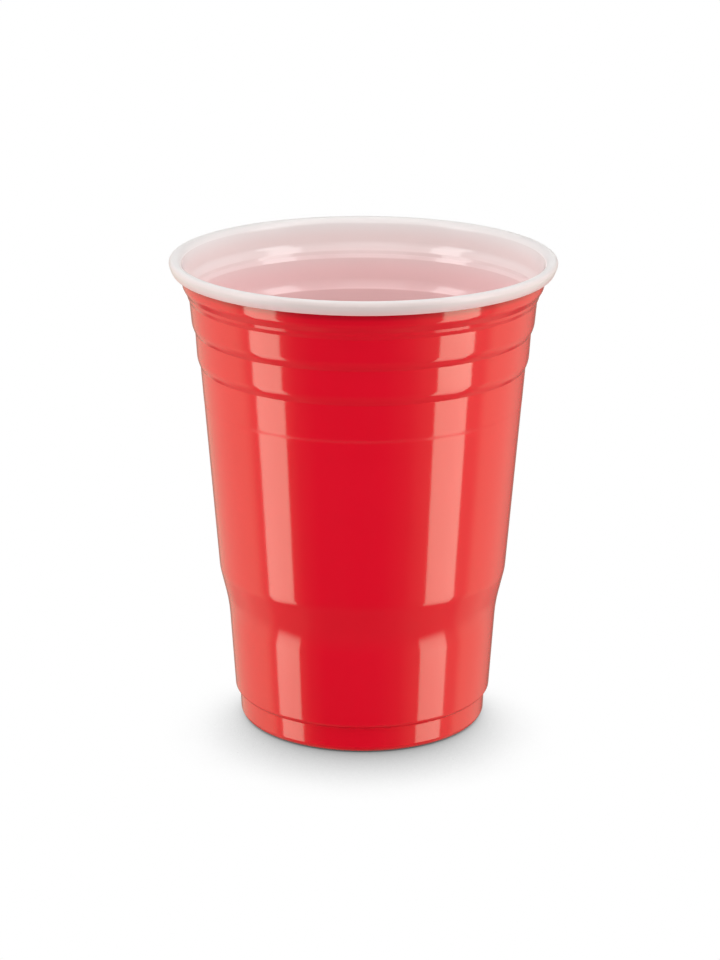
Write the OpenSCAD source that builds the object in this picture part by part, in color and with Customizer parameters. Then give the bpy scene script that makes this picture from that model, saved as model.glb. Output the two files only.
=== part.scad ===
// Plastic party cup, thermoformed in one piece from a thin two-layer sheet, red outside and white inside.
// The section is one sheet of even thickness. It starts at the middle of the recessed base, runs out to
// the ring that the cup stands on, up the foot, the grip and the stepped wall, and ends in a rolled lip.
// Diameters are taken on the outside of the sheet, and the radii of bends and arcs in its middle. The rim,
// neck, bands and fill line hang from the top of the rim; the foot, grip and shoulder stand on the table.

/* [Cup] */
// Height from the table to the top of the rim
cup_h = 118; // [110:0.5:140]
// Diameter over the rolled rim
rim_d = 95; // [90:0.5:105]
// Thickness of the formed sheet
sheet = 0.35; // [0.3:0.05:0.6]

/* [Rolled rim] */
// Radius of the turn from the neck to the top of the lip
lip_in = 1.8; // [1.6:0.1:2.2]
// Radius of the turn from the top of the lip down its outside
lip_out = 0.9; // [0.8:0.1:1.3]
// How far that turn goes on past the upright, in degrees
lip_lean = 15; // [5:1:25]
// Radius of the lip's skirt, the flatter stretch below that turn
skirt_r = 7.4; // [5:0.1:9]
// Turn of the skirt, in degrees
skirt_turn = 14; // [8:1:18]
// Radius of the curl at the end of the lip
curl_r = 0.6; // [0.4:0.05:0.7]
// Turn of the curl, in degrees
curl_turn = 150; // [60:5:180]

/* [Neck] */
// Distance from the top of the rim to the lower edge of the neck
neck_h = 6.65; // [5:0.05:8]
// How far the neck leans in below the lip
neck_draft = 0.5; // [0.1:0.05:0.8]
// Height of the slope from the neck in to the bead
neck_step_h = 1.7; // [1:0.1:2.5]
// How far that slope runs in
neck_step = 1; // [0.5:0.05:1.4]

/* [Stacking bead] */
// Height of the bead's face
bead_h = 0.8; // [0.6:0.1:1.5]
// How far the bead's face leans in
bead_draft = 0.2; // [0.05:0.05:0.4]
// Height of the undercut below the bead
bead_step_h = 1; // [0.8:0.1:2]
// Depth of that undercut
bead_step = 0.45; // [0.3:0.05:1]

/* [Upper band] */
// Height of the upper band's upright face
upper_h = 6.55; // [3:0.05:8]
// How far that face leans in
upper_draft = 0.6; // [0.2:0.05:1]
// Height of the slope below the upper band
upper_step_h = 1.35; // [1:0.05:3]
// How far that slope runs in
upper_step = 0.75; // [0.5:0.05:1.5]

/* [Lower band] */
// Height of the lower band's upright face
lower_h = 7; // [3:0.05:8]
// How far that face leans in
lower_draft = 0.45; // [0.1:0.05:0.8]
// Height of the slope below the lower band
lower_step_h = 1.65; // [1.2:0.05:3]
// How far that slope runs in
lower_step = 0.75; // [0.5:0.05:1.5]

/* [Wall and grip] */
// Distance from the top of the rim down to the fill line on the wall
fill_line = 35.8; // [33:0.1:68]
// Height of the small step that marks the fill line
fill_step_h = 0.6; // [0.4:0.1:2]
// How far the fill line steps out
fill_step = 0.03; // [0.02:0.01:0.3]
// Diameter at the top of the shoulder, where the wall starts
shoulder_d = 71.7; // [69:0.1:76]
// Height of the shoulder's slope, between the wall and the grip
shoulder_h = 9.2; // [6:0.1:12]
// Diameter at the top of the grip
grip_d = 67.3; // [65:0.1:68.5]
// Height of the grip's top above the table
grip_top = 29.9; // [20:0.1:40]

/* [Foot and base] */
// Diameter of the foot where it meets the table
foot_d = 61.5; // [58:0.1:64]
// Height of the foot, up to the ledge
foot_h = 6.6; // [4:0.1:10]
// How far the foot leans out over its height
foot_draft = 0.3; // [0:0.05:0.5]
// How far the ledge steps out over the foot
ledge = 1.1; // [0.6:0.05:1.5]
// Height of the ledge's slope
ledge_h = 0.9; // [0.6:0.1:2]
// Width of the ring that the cup stands on, in from the foot's diameter
ring_w = 3.4; // [3:0.1:6]
// Depth of the recess under the base
recess = 2.6; // [2:0.1:4]
// How far the side of the recess runs in
recess_draft = 1.2; // [0.6:0.1:2]

/* [Bends] */
// Radius of the sharp creases between bands
crease = 0.4; // [0.35:0.05:0.6]
// Radius of the neck's rounded lower edge
neck_bend = 3; // [1:0.1:4]
// Radius of the rounded belly at the lower end of a band
belly_bend = 6.4; // [3:0.1:8]
// Radius where the wall turns in to the shoulder
shoulder_bend = 3; // [2:0.5:10]
// Radius where the shoulder runs out into the grip
grip_bend = 40; // [10:1:50]
// Radius where the grip turns in to the ledge
ledge_bend = 0.8; // [0.4:0.1:1]
// Radius of the foot's lower edge
foot_bend = 1.5; // [0.6:0.1:2]
// Radius of the two bends at the recess
base_bend = 0.6; // [0.4:0.1:0.8]

/* [Hidden] */
cup_red = "#CE1127";
// Largest turn between two points of a bend, in degrees
arc_step = 6;
// Largest share of a straight that the bends at its two ends may take up
bend_share = 0.95;
// Bends shorter than this count as none
least_reach = 0.001;
$fn = 144;

// The sheet's middle is half a thickness inside every outside size
half = sheet / 2;

// Arcs of the lip, from the neck over the top and down the outside to the curl: radius, turn
neck_heading = atan2(neck_h - half - lip_in, neck_draft);
lip_arcs = [
    [lip_in, neck_heading],
    [lip_out, 90 + lip_lean],
    [skirt_r, skirt_turn],
    [curl_r, curl_turn],
];
lip_start = [
    rim_d / 2 - half - lip_out - lip_in * sin(neck_heading),
    cup_h - half - lip_in * (1 - cos(neck_heading)),
];
neck_face_h = lip_start[1] - cup_h + neck_h;

// Stretches below the lip, from the top down: height, run inwards, bend at the lower end
stretches = [
    [neck_face_h, neck_face_h / tan(neck_heading), neck_bend],
    [neck_step_h, neck_step, crease],
    [bead_h, bead_draft, crease],
    [bead_step_h, bead_step, crease],
    [upper_h, upper_draft, belly_bend],
    [upper_step_h, upper_step, crease],
    [lower_h, lower_draft, belly_bend],
    [lower_step_h, lower_step, crease],
];
last = len(stretches) - 1;
function run_to(i, column) = i < 0 ? 0 : stretches[i][column] + run_to(i - 1, column);
function band_corner(i) = [lip_start[0] - run_to(i, 1), lip_start[1] - run_to(i, 0), stretches[i][2]];

// Foot and base
foot_r = foot_d / 2 - half;
ring_r = foot_r - ring_w;
base_z = recess + half;

// Main wall: an even taper from the shoulder to the lowest band, broken by the step at the fill line
shoulder_r = shoulder_d / 2 - half;
shoulder_z = grip_top + shoulder_h;
wall_top = band_corner(last);
taper = (wall_top[0] - shoulder_r - fill_step) / (wall_top[1] - shoulder_z);
fill_low = cup_h - fill_line - fill_step_h / 2;
fill_high = fill_low + fill_step_h;
function wall_r(z) = shoulder_r + taper * (z - shoulder_z);

// Corners of the sheet's middle line from the base's centre to the lip: radius, height, bend radius
corners = concat(
    [
        [0, base_z, 0],
        [ring_r - recess_draft, base_z, base_bend],
        [ring_r, half, base_bend],
        [foot_r, half, foot_bend],
        [foot_r + foot_draft, foot_h, crease],
        [foot_r + foot_draft + ledge, foot_h + ledge_h, ledge_bend],
        [grip_d / 2 - half, grip_top, grip_bend],
        [shoulder_r, shoulder_z, shoulder_bend],
        [wall_r(fill_low), fill_low, crease],
        [wall_r(fill_high) + fill_step, fill_high, crease],
    ],
    [for (i = [last : -1 : 0]) band_corner(i)],
    [[lip_start[0], lip_start[1], 0]]
);

function place(i) = [corners[i][0], corners[i][1]];
function heading(i) = let (run = place(i + 1) - place(i)) atan2(run[1], run[0]);
function along(angle) = [cos(angle), sin(angle)];
function inward(angle) = [-sin(angle), cos(angle)];

// Length that a bend takes up on each side of its corner
function is_end(i) = i == 0 || i == len(corners) - 1;
function reach(i) = is_end(i) ? 0 : corners[i][2] * tan(abs(heading(i) - heading(i - 1)) / 2);

// How much of its two bends a straight has room for: below 1 they grow tighter together
function room(i) = bend_share * norm(place(i + 1) - place(i)) / max(reach(i) + reach(i + 1), least_reach);

// One bend, at a distance to the inside of the sheet's middle line, limited by the straights beside it
function bend(i, distance) =
    let (
        from = heading(i - 1),
        turn = heading(i) - from,
        side = sign(turn),
        radius = corners[i][2] * min(1, room(i - 1), room(i)),
        start = place(i) - radius * tan(abs(turn) / 2) * along(from),
        centre = start + side * radius * inward(from),
        steps = max(1, ceil(abs(turn) / arc_step))
    )
    [for (k = [0 : steps]) centre - (side * radius - distance) * inward(from + turn * k / steps)];

// Heading and place of the sheet's middle line where arc n of the lip starts
function lip_heading(n) = n == 0 ? neck_heading : lip_heading(n - 1) - lip_arcs[n - 1][1];
function lip_place(n) =
    n == 0 ? lip_start
    : lip_place(n - 1) + lip_arcs[n - 1][0] * (inward(lip_heading(n)) - inward(lip_heading(n - 1)));

// One arc of the lip, at a distance to the inside of the middle line. Each arc but the first starts at
// the last point of the one before, which it leaves out.
function lip_arc(n, distance) =
    let (
        radius = lip_arcs[n][0],
        turn = lip_arcs[n][1],
        centre = lip_place(n) - radius * inward(lip_heading(n)),
        steps = ceil(turn / arc_step)
    )
    [
        for (k = [min(n, 1) : steps])
            centre + (radius + distance) * inward(lip_heading(n) - turn * k / steps)
    ];

// One face of the sheet, from the axis to the end of the lip
function face(distance) = concat(
    [[0, base_z + distance]],
    [for (i = [1 : len(corners) - 2]) each bend(i, distance)],
    [for (n = [0 : len(lip_arcs) - 1]) each lip_arc(n, distance)]
);

function backwards(list) = [for (i = [len(list) - 1 : -1 : 0]) list[i]];

module cup() {
    color(cup_red)
        rotate_extrude()
            polygon(concat(face(half), backwards(face(-half))));
}

cup();
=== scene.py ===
import math
from collections import namedtuple

import bpy
from mathutils import Matrix, Vector


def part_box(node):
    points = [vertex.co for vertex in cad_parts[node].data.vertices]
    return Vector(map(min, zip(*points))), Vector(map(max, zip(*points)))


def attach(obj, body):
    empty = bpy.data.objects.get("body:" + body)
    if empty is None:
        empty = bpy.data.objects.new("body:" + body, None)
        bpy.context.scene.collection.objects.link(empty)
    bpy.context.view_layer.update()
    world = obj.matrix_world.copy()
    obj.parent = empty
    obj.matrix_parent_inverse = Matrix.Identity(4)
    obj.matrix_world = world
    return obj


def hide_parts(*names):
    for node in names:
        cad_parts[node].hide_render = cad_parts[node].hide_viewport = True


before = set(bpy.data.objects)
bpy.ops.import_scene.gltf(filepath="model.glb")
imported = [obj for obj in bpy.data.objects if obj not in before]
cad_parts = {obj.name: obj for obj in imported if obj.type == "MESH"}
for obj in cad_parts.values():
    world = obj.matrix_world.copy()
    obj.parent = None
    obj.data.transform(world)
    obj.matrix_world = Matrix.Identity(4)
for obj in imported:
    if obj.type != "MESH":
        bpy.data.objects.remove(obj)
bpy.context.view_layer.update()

# Sizes of the cup in millimetres and degrees, as the imported solid has them, but for one bend below.
# The overall ones come from the imported solid.
MM = 0.001
cup_low, cup_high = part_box("cup")
CUP_H = (cup_high.z - cup_low.z) / MM
RIM_D = 2 * cup_high.x / MM
SHEET = 0.35
HALF = SHEET / 2

# Rolled rim and neck
LIP_IN = 1.8
LIP_OUT = 0.9
LIP_LEAN = 15
SKIRT_R = 7.4
SKIRT_TURN = 14
CURL_R = 0.6
CURL_TURN = 150
NECK_H = 6.65
NECK_DRAFT = 0.5
NECK_HEADING = math.degrees(math.atan2(NECK_H - HALF - LIP_IN, NECK_DRAFT))
LIP_START = Vector((
    RIM_D / 2 - HALF - LIP_OUT - LIP_IN * math.sin(math.radians(NECK_HEADING)),
    CUP_H - HALF - LIP_IN * (1 - math.cos(math.radians(NECK_HEADING))),
))
NECK_FACE_H = LIP_START.y - CUP_H + NECK_H

# Arcs of the lip, from the neck over the top and down the outside to the curl: radius, turn
LIP_ARCS = [
    (LIP_IN, NECK_HEADING),
    (LIP_OUT, 90 + LIP_LEAN),
    (SKIRT_R, SKIRT_TURN),
    (CURL_R, CURL_TURN),
]
LIP_END_HEADING = NECK_HEADING - sum(turn for _, turn in LIP_ARCS)

# Bend radii in the middle of the sheet. The shoulder's is wider than the solid's, for a softer turn,
# and the two surfaces stay within 0.04 mm of each other.
CREASE = 0.4
NECK_BEND = 3
BELLY_BEND = 6.4
SHOULDER_BEND = 12
GRIP_BEND = 40
LEDGE_BEND = 0.8
FOOT_BEND = 1.5
BASE_BEND = 0.6

# Stretches below the lip, from the top down: height, run inwards, bend at the lower end
STRETCHES = [
    (NECK_FACE_H, NECK_FACE_H / math.tan(math.radians(NECK_HEADING)), NECK_BEND),  # neck
    (1.7, 1, CREASE),  # slope from the neck to the bead
    (0.8, 0.2, CREASE),  # stacking bead
    (1, 0.45, CREASE),  # undercut below the bead
    (6.55, 0.6, BELLY_BEND),  # upper band
    (1.35, 0.75, CREASE),  # slope below the upper band
    (7, 0.45, BELLY_BEND),  # lower band
    (1.65, 0.75, CREASE),  # slope below the lower band
]

# Wall and grip
FILL_LINE = 35.8
FILL_STEP_H = 0.6
FILL_STEP = 0.03
FILL_LINE_Z = CUP_H - FILL_LINE
SHOULDER_D = 71.7
SHOULDER_H = 9.2
GRIP_D = 67.3
GRIP_TOP = 29.9
SHOULDER_R = SHOULDER_D / 2 - HALF
SHOULDER_Z = GRIP_TOP + SHOULDER_H
GRIP_R = GRIP_D / 2 - HALF

# Foot and base
FOOT_D = 61.5
FOOT_H = 6.6
FOOT_DRAFT = 0.3
LEDGE = 1.1
LEDGE_H = 0.9
RING_W = 3.4
RECESS = 2.6
RECESS_DRAFT = 1.2
FOOT_R = FOOT_D / 2 - HALF
RING_R = FOOT_R - RING_W
BASE_Z = RECESS + HALF

# Fineness of the mesh: degrees in one step of a bend, and steps of the full turn
ARC_STEP = 4
SEGMENTS = 192

# Material slots of the mesh, and its texture map: v runs along the sheet, in one half for each face
OUTSIDE_SLOT = 0
INSIDE_SLOT = 1
UV_LAYER = "OFBake"
UV_MARGIN = 0.01
UV_SPAN = 0.5 - 2 * UV_MARGIN
OUTSIDE_V = UV_MARGIN
INSIDE_V = 0.5 + UV_MARGIN
LIP_END_V = 1 - UV_MARGIN

# Surface of both layers: the roughness from streak to streak, the noise with its scales per metre, and
# the depth of the waves in millimetres
PLASTIC_IOR = 1.57
GLOSS = (0.07, 0.10)
NOISE_RANGE = (0.3, 0.7)
CLOUD_DETAIL = 3.0
STREAK_SCALE = 120
STREAK_STRETCH = (1, 1, 0.15)
WAVE_SCALE = 70
WAVE_STRETCH = (1, 1, 0.4)
WAVE_STRENGTH = 0.05
WAVE_DEPTH = 0.5

# Red layer: two shades that the clouds mix, then the painted shade it turns to from the bands up and the
# painted shadow close under the lip, with the heights over which each comes in
RED_CLOUD_SCALE = 60
RED = ((0.755, 0.0018, 0.0190, 1), (0.795, 0.0026, 0.0220, 1))
RED_PAINTED_SHADE_AT_BANDS = (0.750, 0.0020, 0.0200, 1)
PAINTED_BAND_SHADE_SPAN = (86, 104)
RED_PAINTED_SHADOW_UNDER_LIP = (0.54, 0.0020, 0.0170, 1)
PAINTED_LIP_SHADOW_SPAN = (112.4, 113.8)
RED_SPECULAR_TINT = (0.66, 0.97, 0.73, 1)

# Dull ring on the fill line: its roughness, and the distances from the line over which it comes in
FILL_ROUGHNESS = 0.24
FILL_MARK_SPAN = (0.72, 0.12)

# White layer in the wall, from the base up: each row has the heights over which it takes the place of
# the colour before it, and two shades that the clouds mix
WHITE_CLOUD_SCALE = 50
WHITE_DEEP = ((0.930, 0.770, 0.765, 1), (0.950, 0.800, 0.795, 1))
# The wall's pink is partly the thin white over the red and partly painted red light through the wall; the
# whiter top is partly the thicker sheet and partly painted light on the neck below the lip's inner curve
WHITE_PINK_AND_PAINTED_LIGHT_BY_HEIGHT = [
    ((60, 98), ((0.940, 0.630, 0.630, 1), (0.960, 0.660, 0.660, 1))),
    ((103.5, 112.5), ((0.860, 0.735, 0.720, 1), (0.880, 0.755, 0.740, 1))),
    ((112.5, 117), ((0.840, 0.805, 0.792, 1), (0.860, 0.825, 0.812, 1))),
]
WHITE_SPECULAR_LEVEL = 0.42

# White layer on the outside of the lip: the same by the distance from the end of its curl, then the
# distances over which the wall's colours come in and those over which the lip's dullness does
# Painted shade and light: the outside of the lip is darker than its top as painted shade; towards the
# curl it turns pinker, partly the thin white over the red and partly painted red light from the neck; the
# curl's pale pink is painted light under the lip
CURL_PINK_AND_PAINTED_LIGHT = ((0.960, 0.640, 0.625, 1), (0.980, 0.660, 0.645, 1))
LIP_PAINTED_SHADE_AND_PINK_BY_END = [
    ((1.6, 2.3), ((0.79, 0.54, 0.525, 1), (0.81, 0.56, 0.545, 1))),
    ((1.8, 3.9), ((0.72, 0.615, 0.595, 1), (0.74, 0.635, 0.615, 1))),
]
LIP_TO_WALL_SPAN = (4.4, 5.75)
LIP_ROUGHNESS = 0.34
LIP_DULL_SPAN = (10.0, 7.5)

# Camera, from the photograph's perspective: millimetres and degrees
LENS = 112.5
SENSOR = 36
CAMERA_PLACE = (0, -716.1, 282.4)
CAMERA_PITCH = -17.197
CAMERA_YAW = 0.055
CAMERA_ROLL = 0.15

# Tall light boxes beside the camera: azimuth from the camera's side, width in degrees, radiance, and
# levels by the height over their foot, where they fade out
LightBox = namedtuple("LightBox", "azimuth width radiance levels")
LIGHT_BOXES = {
    "light_box_left": LightBox(-68.1, 23.6, 3.65, [(0, 0), (70, 0.78), (120, 0.84), (150, 1)]),
    "light_box_right": LightBox(
        64.8,
        26.7,
        3.5,
        [(0, 0), (70, 0.78), (120, 0.84), (150, 1.02), (260, 1.02), (278, 1.3), (330, 1.3), (420, 1)],
    ),
}
HIGHEST_LEVEL = 1.5
LIGHT_BOX_DISTANCE = 600
LIGHT_BOX_FOOT = -400
LIGHT_BOX_TOP = 1000

# Fill light above the camera
FILL_LIGHT_PLACE = (-180, -1310, 760)
FILL_LIGHT_SIZE = 1200
FILL_LIGHT_RADIANCE = 1.0

# Watts per square metre that give an area lamp a radiance of one
LAMP_WATTS = math.pi

# Radiance of the studio walls round the horizon, by azimuth from the camera's side
WALLS = [
    (-180, 0.25),
    (-167, 0.3),
    (-157, 0.7),
    (-144, 0.8),
    (-128, 0.94),
    (-112, 1.12),
    (-97, 1.35),
    (-92, 1.2),
    (-87, 0.8),
    (-58, 0.6),
    (-48, 0.2),
    (-34, 0.06),
    (0, 0.05),
    (15, 0.06),
    (33, 0.2),
    (50, 0.6),
    (77, 0.9),
    (91, 0.75),
    (100, 1.28),
    (118, 1.08),
    (135, 0.86),
    (150, 0.5),
    (160, 0.25),
    (180, 0.25),
]
BRIGHTEST_WALL = 1.5

# The rest of the studio, each with the parts of a direction over which it comes in: its z, from -1 below
# to 1 above, or its y, from -1 on the camera's side to 1 at the back
BACKDROP = 1.4
BACKDROP_BACK_SPAN = (0.92, 0.985)
BACKDROP_UP_SPAN = (0.0, 0.2)
CEILING = 0.3
CEILING_SPAN = (0.5, 0.75)
SKYLIGHT = 1.0
SKYLIGHT_SPAN = (0.86, 0.94)

# Below the cup: a level of its own and a share of the walls' level, which falls further down
BELOW = 0.11
BELOW_SPAN = (-0.46, -0.64)
BELOW_SHARE = 0.47
FAR_BELOW_SHARE = 0.24
FAR_BELOW_SPAN = (-0.74, -0.88)

# Low behind the cup: a level of its own, up to an edge that rises with y by the slant
LOW_BEHIND = 0.22
LOW_BEHIND_SLANT = 0.3
LOW_BEHIND_DOWN_SPAN = (-0.65, -0.72)
LOW_BEHIND_BACK_SPAN = (0.45, 0.7)

# Tint of what lies below the horizon in reflections
WHITE_LIGHT = (1, 1, 1, 1)
MIRRORED_TINT = (1, 1, 0.76, 1)
MIRRORED_TINT_SPAN = (0.1, -0.2)

# The floor: its sides in metres, its drop below the cup and its grey. Its shadow: how far the cup darkens
# the floor, how far the light leans to the back, the shares of open sky at which the floor is black and
# white, and the rays for each point
FLOOR_SIZE = 6
FLOOR_DROP = 0.05
FLOOR_GREY = 0.70
SHADOW_REACH = 45
SHADOW_LEAN = 0.6
SHADOW_BLACK = 0.03
SHADOW_WHITE = 0.72
SHADOW_SAMPLES = 16


def along(angle):
    """Direction of a heading in the section, in degrees from the radius."""
    return Vector((math.cos(math.radians(angle)), math.sin(math.radians(angle))))


def inward(angle):
    """Direction to the inside of the cup, square to a heading."""
    return along(angle + 90)


def section_corners():
    """Corners of the sheet's middle line, from the base's centre to the lip: place and bend radius."""
    bands = []
    radius, height = LIP_START
    for drop, run, bend_radius in STRETCHES:
        radius, height = radius - run, height - drop
        bands.append((Vector((radius, height)), bend_radius))
    wall_top = bands[-1][0]
    taper = (wall_top.x - SHOULDER_R - FILL_STEP) / (wall_top.y - SHOULDER_Z)
    fill_low = FILL_LINE_Z - FILL_STEP_H / 2
    fill_high = FILL_LINE_Z + FILL_STEP_H / 2
    low = [
        (0, BASE_Z, 0),
        (RING_R - RECESS_DRAFT, BASE_Z, BASE_BEND),
        (RING_R, HALF, BASE_BEND),
        (FOOT_R, HALF, FOOT_BEND),
        (FOOT_R + FOOT_DRAFT, FOOT_H, CREASE),
        (FOOT_R + FOOT_DRAFT + LEDGE, FOOT_H + LEDGE_H, LEDGE_BEND),
        (GRIP_R, GRIP_TOP, GRIP_BEND),
        (SHOULDER_R, SHOULDER_Z, SHOULDER_BEND),
        (SHOULDER_R + taper * (fill_low - SHOULDER_Z), fill_low, CREASE),
        (SHOULDER_R + taper * (fill_high - SHOULDER_Z) + FILL_STEP, fill_high, CREASE),
    ]
    corners = [(Vector((r, z)), bend_radius) for r, z, bend_radius in low]
    return corners + bands[::-1] + [(LIP_START, 0)]


def bend_points(before, corner, after, bend_radius, distance):
    """One bend of the sheet, at a distance to the inside of its middle line: place and inward normal."""
    start_run, end_run = corner - before, after - corner
    start = math.degrees(math.atan2(start_run.y, start_run.x))
    turn = math.degrees(math.atan2(end_run.y, end_run.x)) - start
    side = math.copysign(1, turn)
    setback = bend_radius * math.tan(math.radians(abs(turn) / 2))
    centre = corner - setback * along(start) + side * bend_radius * inward(start)
    steps = max(1, math.ceil(abs(turn) / ARC_STEP))
    normals = [inward(start + turn * k / steps) for k in range(steps + 1)]
    return [(centre - (side * bend_radius - distance) * normal, normal) for normal in normals]


def lip_points(distance):
    """The lip, which turns outwards over the top of the neck: place and inward normal."""
    points = []
    heading, place = NECK_HEADING, LIP_START
    for radius, turn in LIP_ARCS:
        centre = place - radius * inward(heading)
        steps = math.ceil(turn / ARC_STEP)
        normals = [inward(heading - turn * k / steps) for k in range(steps + 1)]
        first = 1 if points else 0
        points += [(centre + (radius + distance) * normal, normal) for normal in normals[first:]]
        heading, place = heading - turn, centre + radius * normals[-1]
    return points


def sheet_face(distance):
    """One face of the sheet, from the axis to the end of the lip: place and inward normal."""
    corners = section_corners()
    points = [(Vector((0, BASE_Z + distance)), Vector((0, 1)))]
    for (before, _), (corner, bend_radius), (after, _) in zip(corners, corners[1:], corners[2:]):
        points += bend_points(before, corner, after, bend_radius, distance)
    return points + lip_points(distance)


def measured(face):
    """A face with the distance along it added to each point."""
    rows = []
    run, before = 0, face[0][0]
    for place, normal in face:
        run += (place - before).length
        rows.append((place, normal, run))
        before = place
    return rows


def section():
    """The inside and the outside face of the sheet, both from the axis to the end of the lip.

    Each point has its place, the normal out of the sheet and its distance along the face."""
    inside = sheet_face(HALF)
    outside = [(place, -normal) for place, normal in sheet_face(-HALF)]
    return measured(inside), measured(outside)


def turned(point, step):
    """A point or direction of the section, turned round the axis."""
    angle = 2 * math.pi * step / SEGMENTS
    return Vector((point.x * math.cos(angle), point.x * math.sin(angle), point.y))


# A ring of the turned mesh: the number of its point at each step, its normal in the section and its v
Ring = namedtuple("Ring", "numbers normal v")


class Lathe:
    """Collects the faces of the turned cup, with a normal and a texture place at each corner."""

    def __init__(self):
        self.points, self.polygons, self.slots = [], [], []
        self.normals, self.places = [], []

    def ring(self, place, normal, v):
        """Adds a ring of points, or one point on the axis."""
        first = len(self.points)
        count = 1 if place.x == 0 else SEGMENTS
        self.points += [turned(place, step) * MM for step in range(count)]
        return Ring([first + step % count for step in range(SEGMENTS + 1)], normal, v)

    def strip(self, low, high, slot, flip):
        """Adds the faces between two rings, turned over where flip is set."""
        for step in range(SEGMENTS):
            corners = [(low, step), (low, step + 1), (high, step + 1), (high, step)]
            if low.numbers[step] == low.numbers[step + 1]:
                del corners[1]
            if flip:
                corners.reverse()
            self.polygons.append([ring.numbers[k] for ring, k in corners])
            self.slots.append(slot)
            self.normals += [turned(ring.normal, k) for ring, k in corners]
            self.places += [(k / SEGMENTS, ring.v) for ring, k in corners]

    def skin(self, face, v_start, slot, flip):
        """Adds one whole face of the sheet and returns its last ring."""
        v_scale = UV_SPAN / face[-1][2]
        rings = [self.ring(place, normal, v_start + run * v_scale) for place, normal, run in face]
        for low, high in zip(rings, rings[1:]):
            self.strip(low, high, slot, flip)
        return rings[-1]

    def mesh(self, name):
        """The collected faces as a mesh."""
        mesh = bpy.data.meshes.new(name)
        mesh.from_pydata(self.points, [], self.polygons)
        mesh.polygons.foreach_set("use_smooth", [True] * len(self.polygons))
        mesh.polygons.foreach_set("material_index", self.slots)
        layer = mesh.uv_layers.new(name=UV_LAYER)
        layer.data.foreach_set("uv", [value for place in self.places for value in place])
        mesh.normals_split_custom_set(self.normals)
        mesh.update()
        return mesh


def cup_mesh():
    """The whole cup as one closed mesh, white inside and over the lip, red outside."""
    inside, outside = section()
    lathe = Lathe()
    inside_end = lathe.skin(inside, INSIDE_V, INSIDE_SLOT, True)
    outside_end = lathe.skin(outside, OUTSIDE_V, OUTSIDE_SLOT, False)
    edge_normal = along(LIP_END_HEADING)
    edge_in = inside_end._replace(normal=edge_normal, v=LIP_END_V)
    edge_out = outside_end._replace(normal=edge_normal, v=LIP_END_V + UV_MARGIN / 2)
    lathe.strip(edge_in, edge_out, INSIDE_SLOT, True)
    return lathe.mesh("party_cup")


def add_node(tree, kind, inputs=None, **settings):
    """A new node with its settings, and its inputs set or linked by name or number."""
    node = tree.nodes.new(kind)
    for key, value in settings.items():
        setattr(node, key, value)
    for key, value in (inputs or {}).items():
        if isinstance(value, bpy.types.NodeSocket):
            tree.links.new(value, node.inputs[key])
        else:
            node.inputs[key].default_value = value
    return node


def maths(tree, operation, first, second=0.0):
    """The result of an operation on two values, each a number or a socket."""
    return add_node(tree, "ShaderNodeMath", {0: first, 1: second}, operation=operation).outputs[0]


def map_range(tree, value, span, low=0.0, high=1.0, kind="LINEAR"):
    """Maps a span of a value to the range from low to high, and holds it beyond the span."""
    inputs = {"Value": value, "From Min": span[0], "From Max": span[1], "To Min": low, "To Max": high}
    return add_node(tree, "ShaderNodeMapRange", inputs, interpolation_type=kind).outputs["Result"]


def smooth_step(tree, value, span):
    """Rises smoothly from 0 at the first value of the span to 1 at the second, which may be the lower."""
    return map_range(tree, value, span, kind="SMOOTHSTEP")


def mix_values(tree, factor, first, second):
    """A mix of two values, each a number or a socket."""
    return add_node(tree, "ShaderNodeMix", {0: factor, 2: first, 3: second}, data_type="FLOAT").outputs[0]


def mix_colours(tree, factor, first, second):
    """A mix of two colours, each a value or a socket."""
    return add_node(tree, "ShaderNodeMix", {0: factor, 6: first, 7: second}, data_type="RGBA").outputs[2]


def noise(tree, scale, stretch=(1, 1, 1), detail=2.0):
    """A noise value over the object, in its own metres, stretched along its axes."""
    place = add_node(tree, "ShaderNodeTexCoord").outputs["Object"]
    mapped = add_node(tree, "ShaderNodeMapping", {"Vector": place, "Scale": stretch}).outputs["Vector"]
    inputs = {"Vector": mapped, "Scale": scale, "Detail": detail}
    return add_node(tree, "ShaderNodeTexNoise", inputs).outputs["Fac"]


def fill_ramp(ramp, stops, highest):
    """Sets a colour ramp's stops to grey levels: place from 0 to 1 and level up to the highest."""
    elements = ramp.color_ramp.elements
    while len(elements) > 1:
        elements.remove(elements[-1])
    for k, (place, level) in enumerate(stops):
        element = elements[0] if k == 0 else elements.new(place)
        element.position = place
        element.color = [level / highest] * 3 + [1]


def level_ramp(tree, share, stops, highest):
    """A level that follows stops by a share from 0 to 1."""
    ramp = add_node(tree, "ShaderNodeValToRGB", {"Fac": share})
    fill_ramp(ramp, stops, highest)
    return maths(tree, "MULTIPLY", ramp.outputs["Color"], highest)


def new_material(name):
    """A material with its node tree and its Principled shader."""
    material = bpy.data.materials.new(name)
    material.use_nodes = True
    tree = material.node_tree
    return material, tree, tree.nodes["Principled BSDF"]


def height_over_table(tree):
    """Height on the cup, in millimetres."""
    place = add_node(tree, "ShaderNodeTexCoord").outputs["Object"]
    height = add_node(tree, "ShaderNodeSeparateXYZ", {"Vector": place}).outputs["Z"]
    return maths(tree, "DIVIDE", height, MM)


def distance_from_lip_end(tree):
    """Distance back along the inner layer from the lip's end, in millimetres."""
    place = add_node(tree, "ShaderNodeUVMap", uv_map=UV_LAYER).outputs["UV"]
    v = add_node(tree, "ShaderNodeSeparateXYZ", {"Vector": place}).outputs["Y"]
    inside, _ = section()
    return maths(tree, "MULTIPLY", maths(tree, "SUBTRACT", LIP_END_V, v), inside[-1][2] / UV_SPAN)


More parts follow.
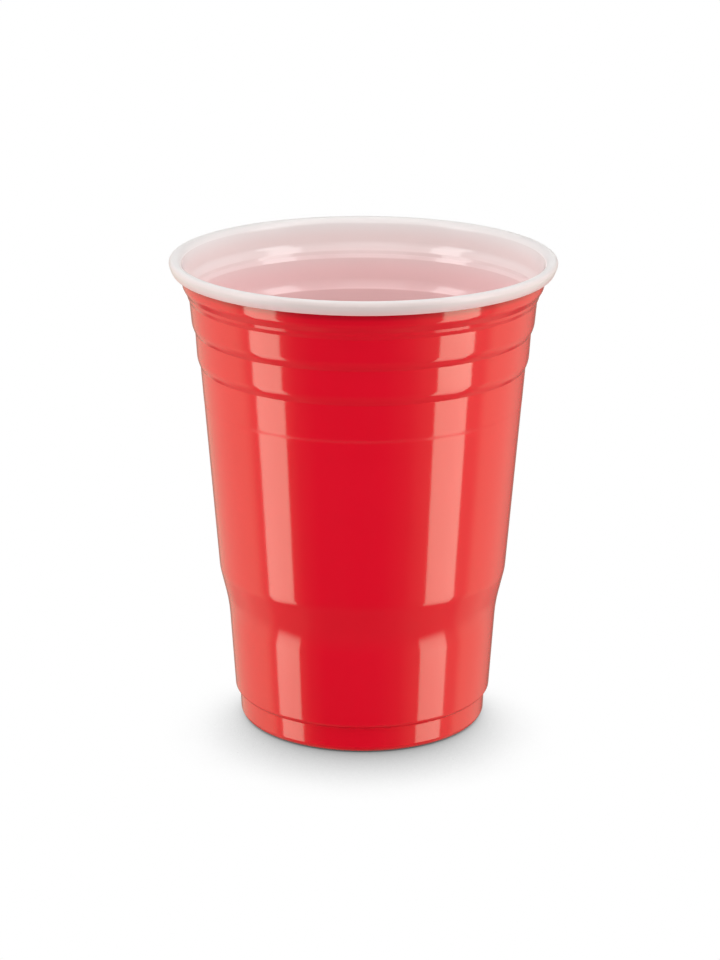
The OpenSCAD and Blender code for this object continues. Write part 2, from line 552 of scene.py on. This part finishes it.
def fill_mark(tree):
    """1 on the fill line, where the mould leaves a thin dull ring, and 0 beside it."""
    beside = maths(tree, "SUBTRACT", height_over_table(tree), FILL_LINE_Z)
    return smooth_step(tree, maths(tree, "ABSOLUTE", beside), FILL_MARK_SPAN)


def colour_by(tree, value, cloud, first, changes):
    """A clouded colour that starts with the first shades and changes over spans of a value."""
    colour = mix_colours(tree, cloud, *first)
    for span, shades in changes:
        clouded = mix_colours(tree, cloud, *shades)
        colour = mix_colours(tree, smooth_step(tree, value, span), colour, clouded)
    return colour


def glossy_surface(tree, shader, dull, dull_roughness):
    """The gloss of both layers: fine upright streaks, duller where dull is 1, and faint waves."""
    streaks = noise(tree, STREAK_SCALE, stretch=STREAK_STRETCH)
    gloss = map_range(tree, streaks, NOISE_RANGE, *GLOSS)
    tree.links.new(mix_values(tree, dull, gloss, dull_roughness), shader.inputs["Roughness"])
    shader.inputs["IOR"].default_value = PLASTIC_IOR
    waves = noise(tree, WAVE_SCALE, stretch=WAVE_STRETCH)
    inputs = {"Height": waves, "Strength": WAVE_STRENGTH, "Distance": WAVE_DEPTH * MM}
    bump = add_node(tree, "ShaderNodeBump", inputs)
    tree.links.new(bump.outputs["Normal"], shader.inputs["Normal"])


def red_plastic():
    """Glossy red outer layer, with the faint unevenness of a sheet that was drawn into a mould, painted
    shade from the bands up and a painted shadow close under the lip.
    """
    material, tree, shader = new_material("red_plastic")
    height = height_over_table(tree)
    cloud = noise(tree, RED_CLOUD_SCALE, detail=CLOUD_DETAIL)
    colour = mix_colours(tree, cloud, *RED)
    # Painted shade: the red turns a little darker from the lower band up towards the lip
    colour = mix_colours(tree, smooth_step(tree, height, PAINTED_BAND_SHADE_SPAN), colour, RED_PAINTED_SHADE_AT_BANDS)
    # Painted shadow: the red darkens close under the lip, where the lip shades the neck
    colour = mix_colours(tree, smooth_step(tree, height, PAINTED_LIP_SHADOW_SPAN), colour, RED_PAINTED_SHADOW_UNDER_LIP)
    tree.links.new(colour, shader.inputs["Base Color"])
    glossy_surface(tree, shader, fill_mark(tree), FILL_ROUGHNESS)
    shader.inputs["Specular Tint"].default_value = RED_SPECULAR_TINT
    return material


def white_plastic():
    """White inner layer: thin over the red in the wall, so it is pinker there than on the rolled rim, and
    that pink also holds painted red light through the wall; the outside of the lip has painted shade and
    painted light.
    """
    material, tree, shader = new_material("white_plastic")
    lip_end = distance_from_lip_end(tree)
    cloud = noise(tree, WHITE_CLOUD_SCALE, detail=CLOUD_DETAIL)
    # Painted light: part of the wall's pink and of its whiter top
    wall = colour_by(tree, height_over_table(tree), cloud, WHITE_DEEP, WHITE_PINK_AND_PAINTED_LIGHT_BY_HEIGHT)
    # Painted shade on the outside of the lip, and painted light at its edge and curl
    lip = colour_by(tree, lip_end, cloud, CURL_PINK_AND_PAINTED_LIGHT, LIP_PAINTED_SHADE_AND_PINK_BY_END)
    colour = mix_colours(tree, smooth_step(tree, lip_end, LIP_TO_WALL_SPAN), lip, wall)
    tree.links.new(colour, shader.inputs["Base Color"])
    glossy_surface(tree, shader, smooth_step(tree, lip_end, LIP_DULL_SPAN), LIP_ROUGHNESS)
    shader.inputs["Specular IOR Level"].default_value = WHITE_SPECULAR_LEVEL
    return material


def make_cup():
    """The cup, which stands for its solid and keeps its form."""
    cup = bpy.data.objects.new("party_cup", cup_mesh())
    bpy.context.collection.objects.link(cup)
    cup.data.materials.append(red_plastic())
    cup.data.materials.append(white_plastic())
    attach(cup, "root")
    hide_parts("cup")


def make_camera():
    """The photograph's view: a long lens, looking down a little."""
    data = bpy.data.cameras.new("camera")
    data.lens = LENS
    data.sensor_width = SENSOR
    camera = bpy.data.objects.new("camera", data)
    turn = Matrix.Rotation(math.radians(CAMERA_YAW), 4, "Z")
    tilt = Matrix.Rotation(math.radians(90 + CAMERA_PITCH), 4, "X")
    roll = Matrix.Rotation(math.radians(CAMERA_ROLL), 4, "Z")
    camera.matrix_world = Matrix.Translation(Vector(CAMERA_PLACE) * MM) @ turn @ tilt @ roll
    bpy.context.collection.objects.link(camera)
    bpy.context.scene.camera = camera


def make_lamp(name, place, aim, width, height, radiance):
    """An area lamp of even radiance, unseen by the camera, in millimetres."""
    data = bpy.data.lights.new(name, "AREA")
    data.shape = "RECTANGLE"
    data.size, data.size_y = width * MM, height * MM
    data.energy = radiance * LAMP_WATTS * data.size * data.size_y
    lamp = bpy.data.objects.new(name, data)
    lamp.location = Vector(place) * MM
    lamp.rotation_euler = (Vector(aim) - Vector(place)).to_track_quat("-Z", "Y").to_euler()
    lamp.visible_camera = False
    bpy.context.collection.objects.link(lamp)
    return data


def make_light_box(name, box):
    """A tall light box, with its levels by height."""
    angle = math.radians(box.azimuth)
    middle = (LIGHT_BOX_FOOT + LIGHT_BOX_TOP) / 2
    place = (LIGHT_BOX_DISTANCE * math.sin(angle), -LIGHT_BOX_DISTANCE * math.cos(angle), middle)
    width = 2 * LIGHT_BOX_DISTANCE * math.tan(math.radians(box.width / 2))
    height = LIGHT_BOX_TOP - LIGHT_BOX_FOOT
    lamp = make_lamp(name, place, (0, 0, middle), width, height, box.radiance)
    lamp.use_nodes = True
    tree = lamp.node_tree
    place_on_lamp = add_node(tree, "ShaderNodeNewGeometry").outputs["Parametric"]
    share = add_node(tree, "ShaderNodeSeparateXYZ", {"Vector": place_on_lamp}).outputs["Y"]
    stops = [(over_foot / height, level) for over_foot, level in box.levels]
    level = level_ramp(tree, share, stops, HIGHEST_LEVEL)
    tree.links.new(level, tree.nodes["Emission"].inputs["Strength"])


def make_lamps():
    """Two tall light boxes beside the camera, which the cup mirrors as strips, and a soft fill light."""
    for name, box in LIGHT_BOXES.items():
        make_light_box(name, box)
    cup_middle = (0, 0, CUP_H / 2)
    size = FILL_LIGHT_SIZE
    make_lamp("fill_light", FILL_LIGHT_PLACE, cup_middle, size, size, FILL_LIGHT_RADIANCE)


def floor_material():
    """White to the camera but for the cup's soft shadow, and a pale grey to the light."""
    material = bpy.data.materials.new("floor_white")
    material.use_nodes = True
    tree = material.node_tree
    tree.nodes.remove(tree.nodes["Principled BSDF"])
    paint = add_node(tree, "ShaderNodeBsdfDiffuse", {"Color": (FLOOR_GREY, FLOOR_GREY, FLOOR_GREY, 1)})
    leaning = add_node(tree, "ShaderNodeCombineXYZ", {"Y": SHADOW_LEAN, "Z": 1.0}).outputs[0]
    up = add_node(tree, "ShaderNodeVectorMath", {0: leaning}, operation="NORMALIZE").outputs[0]
    reach = {"Distance": SHADOW_REACH * MM, "Normal": up}
    open_sky = add_node(tree, "ShaderNodeAmbientOcclusion", reach, samples=SHADOW_SAMPLES).outputs["AO"]
    level = map_range(tree, open_sky, (SHADOW_BLACK, SHADOW_WHITE))
    glow = add_node(tree, "ShaderNodeEmission", {"Strength": level})
    seen = add_node(tree, "ShaderNodeLightPath").outputs["Is Camera Ray"]
    both = add_node(tree, "ShaderNodeMixShader", {0: seen, 1: paint.outputs[0], 2: glow.outputs[0]})
    tree.links.new(both.outputs[0], tree.nodes["Material Output"].inputs["Surface"])
    return material


def make_floor():
    """A plain white floor, just below the cup, which keeps its shadow."""
    half = FLOOR_SIZE / 2
    height = -FLOOR_DROP * MM
    mesh = bpy.data.meshes.new("floor")
    corners = [(-half, -half), (half, -half), (half, half), (-half, half)]
    mesh.from_pydata([(x, y, height) for x, y in corners], [], [(0, 1, 2, 3)])
    mesh.materials.append(floor_material())
    floor = bpy.data.objects.new("floor", mesh)
    bpy.context.collection.objects.link(floor)
    floor.visible_glossy = False


def wall_level(tree, x, y):
    """Radiance of the walls in a direction, by its azimuth."""
    azimuth = maths(tree, "ARCTAN2", x, maths(tree, "MULTIPLY", y, -1.0))
    share = maths(tree, "ADD", maths(tree, "DIVIDE", azimuth, 2 * math.pi), 0.5)
    stops = [(angle / 360 + 0.5, radiance) for angle, radiance in WALLS]
    return level_ramp(tree, share, stops, BRIGHTEST_WALL)


def studio_level(tree, x, y, z):
    """Radiance of the studio in a direction: the walls, the backdrop and what is above and below."""
    walls = wall_level(tree, x, y)
    backdrop_up = smooth_step(tree, z, BACKDROP_UP_SPAN)
    backdrop = maths(tree, "MULTIPLY", smooth_step(tree, y, BACKDROP_BACK_SPAN), backdrop_up)
    level = mix_values(tree, backdrop, walls, BACKDROP)
    level = mix_values(tree, smooth_step(tree, z, CEILING_SPAN), level, CEILING)
    level = mix_values(tree, smooth_step(tree, z, SKYLIGHT_SPAN), level, SKYLIGHT)
    share = mix_values(tree, smooth_step(tree, z, FAR_BELOW_SPAN), BELOW_SHARE, FAR_BELOW_SHARE)
    below = maths(tree, "ADD", maths(tree, "MULTIPLY", walls, share), BELOW)
    level = mix_values(tree, smooth_step(tree, z, BELOW_SPAN), level, below)
    slanted = maths(tree, "SUBTRACT", z, maths(tree, "MULTIPLY", y, LOW_BEHIND_SLANT))
    low = smooth_step(tree, slanted, LOW_BEHIND_DOWN_SPAN)
    low_behind = maths(tree, "MULTIPLY", low, smooth_step(tree, y, LOW_BEHIND_BACK_SPAN))
    return mix_values(tree, low_behind, level, LOW_BEHIND)


def make_world():
    """A white studio, dark on the camera's side, which the camera sees as plain white."""
    world = bpy.data.worlds.new("studio")
    bpy.context.scene.world = world
    world.use_nodes = True
    tree = world.node_tree
    direction = add_node(tree, "ShaderNodeTexCoord").outputs["Generated"]
    axes = add_node(tree, "ShaderNodeSeparateXYZ", {"Vector": direction})
    x, y, z = (axes.outputs[name] for name in "XYZ")
    path = add_node(tree, "ShaderNodeLightPath").outputs
    level = mix_values(tree, path["Is Camera Ray"], studio_level(tree, x, y, z), 1.0)
    mirrored = maths(tree, "MULTIPLY", path["Is Glossy Ray"], smooth_step(tree, z, MIRRORED_TINT_SPAN))
    background = tree.nodes["Background"]
    tree.links.new(level, background.inputs["Strength"])
    tint = mix_colours(tree, mirrored, WHITE_LIGHT, MIRRORED_TINT)
    tree.links.new(tint, background.inputs["Color"])


make_cup()
make_camera()
make_lamps()
make_floor()
make_world()
bpy.context.scene.view_settings.view_transform = "Standard"
